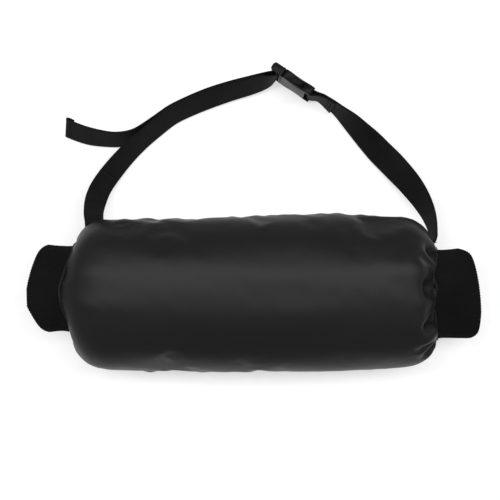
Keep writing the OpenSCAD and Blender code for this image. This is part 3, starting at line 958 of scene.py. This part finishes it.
load_places = [
    (-170.5, 78.6, 36, 60), (-172, 88, 31, 57), (-170.8, 102, 24, 51), (-165.8, 116.5, 18.5, 51),
    (-154, 134.5, 14.5, 53), (-139, 152.5, 12.2, 57), (-124, 167, 12.4, 60),
    (-108, 180.5, 12.6, 61), (-90, 194.5, 12.8, 60), (-70, 204.5, 13, 59), (-48, 213.4, 13.5, 58),
    (-26, 220.4, 15.2, 60), (-5, 225.8, 17.6, 63), (8, 229.2, 19.4, 68), (18, 231.6, 20.2, 80)]
load_steps = 3
load_last = (len(load_places) - 2) * load_steps
tail_leaves_at = 8 * load_steps
front_bar_u = -7.5
bar_r = 1.4
wrap_r = bar_r + web_t / 2 + 0.3
load_route = smooth_route(np.vstack([
    placed_route(load_places, 1), buckle_point(-6.2, 6.4), buckle_point(front_bar_u + wrap_r, 1.6)]),
    load_steps)
bar_route = np.array([buckle_point(front_bar_u + wrap_r * math.cos(a), -wrap_r * math.sin(a))
                      for a in np.radians(np.arange(0, 181, 22.5))])
resting_tail = beside(load_route, range(load_last - load_steps, tail_leaves_at - 1, -1), -ply_pitch)
tail_places = [
    (-114.5, 180.2, 13.6, 64), (-129.5, 172.2, 14.4, 67), (-145.5, 168.8, 14.8, 66),
    (-160, 169, 14.4, 63), (-179.5, 172.2, 13.4, 57), (-193, 176.4, 13, 55), (-205, 181.2, 13, 55)]
tail_steps = 3
slot_tail = smooth_route(np.vstack([
    buckle_point(front_bar_u - wrap_r, 1.6), buckle_point(-11.2, 4.2),
    beside(load_route, [load_last + 2], -4.2), beside(load_route, [load_last], -2.6),
    resting_tail[:1]]), tail_steps)
free_tail = smooth_route(np.vstack([resting_tail[-1:], placed_route(tail_places, -1)]), tail_steps)
hem_l = 7


def hem_route():
    run, across, face = (d[-1] for d in route_frame(free_tail))
    tip = free_tail[-1, :3]
    turned = [np.concatenate([tip + ply_pitch / 2 * (math.sin(a) * run + (1 - math.cos(a)) * face), across])
              for a in np.radians([45, 90, 135, 180])]
    return np.array(turned + [np.concatenate([tip + ply_pitch * face - hem_l * run, across])])


fixed_places = [
    (75.5, 212.6, 19.6, 86), (84, 206.2, 18.4, 80), (94.5, 197.8, 16.4, 73),
    (105.5, 188.4, 14.2, 61), (116.5, 177.8, 12.2, 51), (128, 166.6, 10.2, 40), (139, 155.2, 9, 33),
    (150, 144, 10, 31), (160.2, 132.2, 13, 35), (169, 121, 16.8, 42), (176.5, 109.4, 21.2, 50),
    (182.6, 97.8, 25.6, 60), (187.4, 85.4, 30.4, 71), (190.2, 73.4, 34.4, 81),
    (191.6, 62.6, 36.6, 88), (191.8, 53, 37.4, 90)]
fixed_route = smooth_route(placed_route(fixed_places, 1), 3)
web_bar_u = 35.3
web_bar_r = 1.7
socket_wrap_r = web_bar_r + web_t / 2 + 0.3
fold_route = np.vstack([
    beside(fixed_route, [4, 3, 2, 1], ply_pitch),
    smooth_route([buckle_point(42.6, -0.4), buckle_point(39.2, 1.7),
                  buckle_point(web_bar_u + 1, socket_wrap_r)], 2),
    [buckle_point(web_bar_u - socket_wrap_r * math.sin(a), socket_wrap_r * math.cos(a))
     for a in np.radians(np.arange(0, 181, 22.5))],
    buckle_point(web_bar_u + 3.2, -socket_wrap_r - 0.2)])


no_places = np.empty((0, 6))


def webbing_piece(name, route, start=0.0, before=no_places, after=no_places):
    """Woven webbing along a route: two ribbed faces and rounded selvedges.

    before and after hold the place beyond a cut, so that the pieces on both sides of it meet.
    """
    own = slice(len(before), len(before) + len(route))
    across, face = (d[own] for d in route_frame(np.vstack([before, route, after]))[1:])
    across_count = 11
    edge = np.linspace(-1, 1, across_count)
    half_w, half_t = web_w / 2, web_t / 2
    selvedge = 0.12 * np.exp(-((1 - np.abs(edge)) / 0.07) ** 2)
    top = [(y * (half_w - half_t * 0.9), half_t + bead - 0.12) for y, bead in zip(edge, selvedge)]
    turn = np.radians([60, 25, 0, -25, -60])
    right = [(half_w - half_t * 0.9 * (1 - math.cos(a)), half_t * 0.98 * math.sin(a)) for a in turn]
    low = [(y, -z) for y, z in top[::-1]]
    left = [(-y, -z) for y, z in right]
    profile = np.array(top + right + low + left)
    grid = (route[:, None, :3] + across[:, None] * profile[None, :, :1]
            + face[:, None] * profile[None, :, 1:])
    rows, cols = len(route), len(profile)
    faces = grid_faces(rows, cols, close_cols=True)
    length = route_length(route) + start
    steps = np.linalg.norm(np.roll(profile, -1, 0) - profile, axis=1)
    uvs = list(grid_uvs(length, np.concatenate([[0], np.cumsum(steps)])).reshape(-1, 4, 2))
    faces = list(faces)
    for first, flip in ((0, False), ((rows - 1) * cols, True)):
        for j in range(across_count - 1):
            quad = [j, j + 1, 2 * across_count + 5 - 2 - j, 2 * across_count + 5 - 1 - j]
            order = quad if flip else quad[::-1]
            faces.append([first + q for q in order])
            uvs.append(np.array([[0, 0], [0, 0.001], [0.001, 0.001], [0.001, 0]]))
        rights = [across_count - 1 + k for k in range(7)]
        lefts = [2 * across_count + 4 + k for k in range(6)] + [0]
        for cap in (rights, lefts):
            order = cap if flip else cap[::-1]
            faces.append([first + q for q in order])
            uvs.append(np.zeros((len(cap), 2)))
    corner_uvs = np.concatenate([np.asarray(c).reshape(-1, 2) for c in uvs])
    obj = surface_object(name, grid.reshape(-1, 3), faces, corner_uvs)
    for cut_face in obj.data.polygons[(rows - 1) * cols:]:
        cut_face.use_smooth = False
    return finish_piece(obj, strap_cloth)


def cut_route(route, at):
    """Splits a route at a distance from its start. Both parts keep the place of the cut."""
    length = route_length(route)
    i = int(np.searchsorted(length, at))
    return route[:i + 1], route[i:], length[i]


def cross_stitches(name, routes_and_heights):
    """Rows of stitches across the webbing. Each entry is (route, index, height)."""
    made = []
    inset, pitch, stitch_l = 2.5, 2.5, 2.0
    for number, (route, i, height) in enumerate(routes_and_heights):
        across, face = route_frame(route)[1:]
        middle = route[i, :3] + face[i] * (height + math.copysign(0.12, height))
        reach = web_w / 2 - inset
        path = np.array([middle - across[i] * reach, middle + across[i] * reach])
        outward = np.repeat(face[i:i + 1] * math.copysign(1, height), 2, axis=0)
        made.append(stitches(f"{name}_{number}", path, outward, pitch, stitch_l))
    joined = made[0]
    with bpy.context.temp_override(active_object=joined, selected_editable_objects=made):
        bpy.ops.object.join()
    joined.name = name
    return joined


longest_step = 2.0
left_root_l, right_root_l = 58, 62  # from a sewn root to the place where its own piece ends
# Where each root dives under the shell, beyond the frame's own route.
left_dive = [(-168.8, 65.5, 42.5), (-169.4, 71.7, 39.7)]
right_dive = [(190.6, 57.6, 37.1), (187.5, 53.0, 37.3)]
right_dive_y = 61                   # the right route is left here for its dive


def dive_route(places, across):
    return np.hstack([np.array(places), np.repeat(across[None], len(places), axis=0)])


def add_left_strap():
    """The long webbing: its root, the load run, the ladder lock's bar and the free tail."""
    whole = refine(np.vstack([load_route, bar_route, slot_tail, resting_tail[1:], free_tail[1:],
                              hem_route()]), longest_step)
    root, rest, cut = cut_route(whole, left_root_l)
    shown = np.vstack([dive_route(left_dive, root[0, 3:]), root])
    shown_l = route_length(shown)[-1]
    piece = webbing_piece("left_strap_root", shown, cut - shown_l, after=rest[1:2])
    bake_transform(piece)
    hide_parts("adjustable_webbing")
    strap = webbing_piece("adjustable_strap", rest, cut, before=root[-2:-1])
    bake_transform(strap)
    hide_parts("adjustable_webbing")
    sewn = cross_stitches("left_root_stitches", [(load_route, i, side * web_t / 2)
                                                 for i in (1, 2) for side in (1, -1)])
    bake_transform(sewn)
    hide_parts("left_root_thread")
    hem = cross_stitches("tail_hem_stitches", [
        (free_tail, len(free_tail) - 2, ply_pitch + web_t / 2), (free_tail, len(free_tail) - 2, -web_t / 2)])
    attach(hem, "strap_loop")
    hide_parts("tail_hem_thread")


def add_right_strap():
    """The short webbing: the fold round the socket's bar, the run and the root."""
    whole = refine(np.vstack([fold_route, fixed_route]), longest_step)
    rest, root, cut = cut_route(whole, route_length(whole)[-1] - right_root_l)
    strap = webbing_piece("fixed_strap", rest, after=root[1:2])
    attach(strap, "strap_loop")
    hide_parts("fixed_webbing")
    shown = np.vstack([root[root[:, 1] > right_dive_y], dive_route(right_dive, root[-1, 3:])])
    piece = webbing_piece("right_strap_root", shown, cut, before=rest[-2:-1])
    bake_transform(piece)
    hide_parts("fixed_webbing")
    last = len(fixed_route) - 1
    sewn = cross_stitches("right_root_stitches", [(fixed_route, last - i, side * web_t / 2)
                                                  for i in (2, 1) for side in (1, -1)])
    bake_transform(sewn)
    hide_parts("right_root_thread")
    fold = cross_stitches("socket_fold_stitches", [
        (fixed_route, i, height) for i in (2, 3) for height in (ply_pitch + web_t / 2, -web_t / 2)])
    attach(fold, "strap_loop")
    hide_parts("socket_fold_thread")


add_left_strap()
add_right_strap()


# ---- Buckle: the frame's own pieces, with moulded edges ----

def mould(node, edge):
    """Plastic on a CAD node, with its sharp edges rounded by "edge" millimetres."""
    obj = frame["nodes"][node]
    obj.data.materials.clear()
    obj.data.materials.append(plastic)
    obj.data.polygons.foreach_set("use_smooth", [True] * len(obj.data.polygons))
    joined = obj.modifiers.new("joined_faces", "WELD")
    joined.merge_threshold = 0.02 * MM
    flats = obj.modifiers.new("whole_flats", "DECIMATE")
    flats.decimate_type = "DISSOLVE"
    flats.angle_limit = math.radians(0.5)
    rounding = obj.modifiers.new("moulded_edges", "BEVEL")
    rounding.width = edge * MM
    rounding.segments = 3
    rounding.limit_method = "ANGLE"
    rounding.angle_limit = math.radians(32)
    rounding.harden_normals = True


mould("buckle_socket", 0.6)
mould("latch_frame", 0.5)
mould("outer_latch_arm", 0.4)
mould("inner_latch_arm", 0.4)
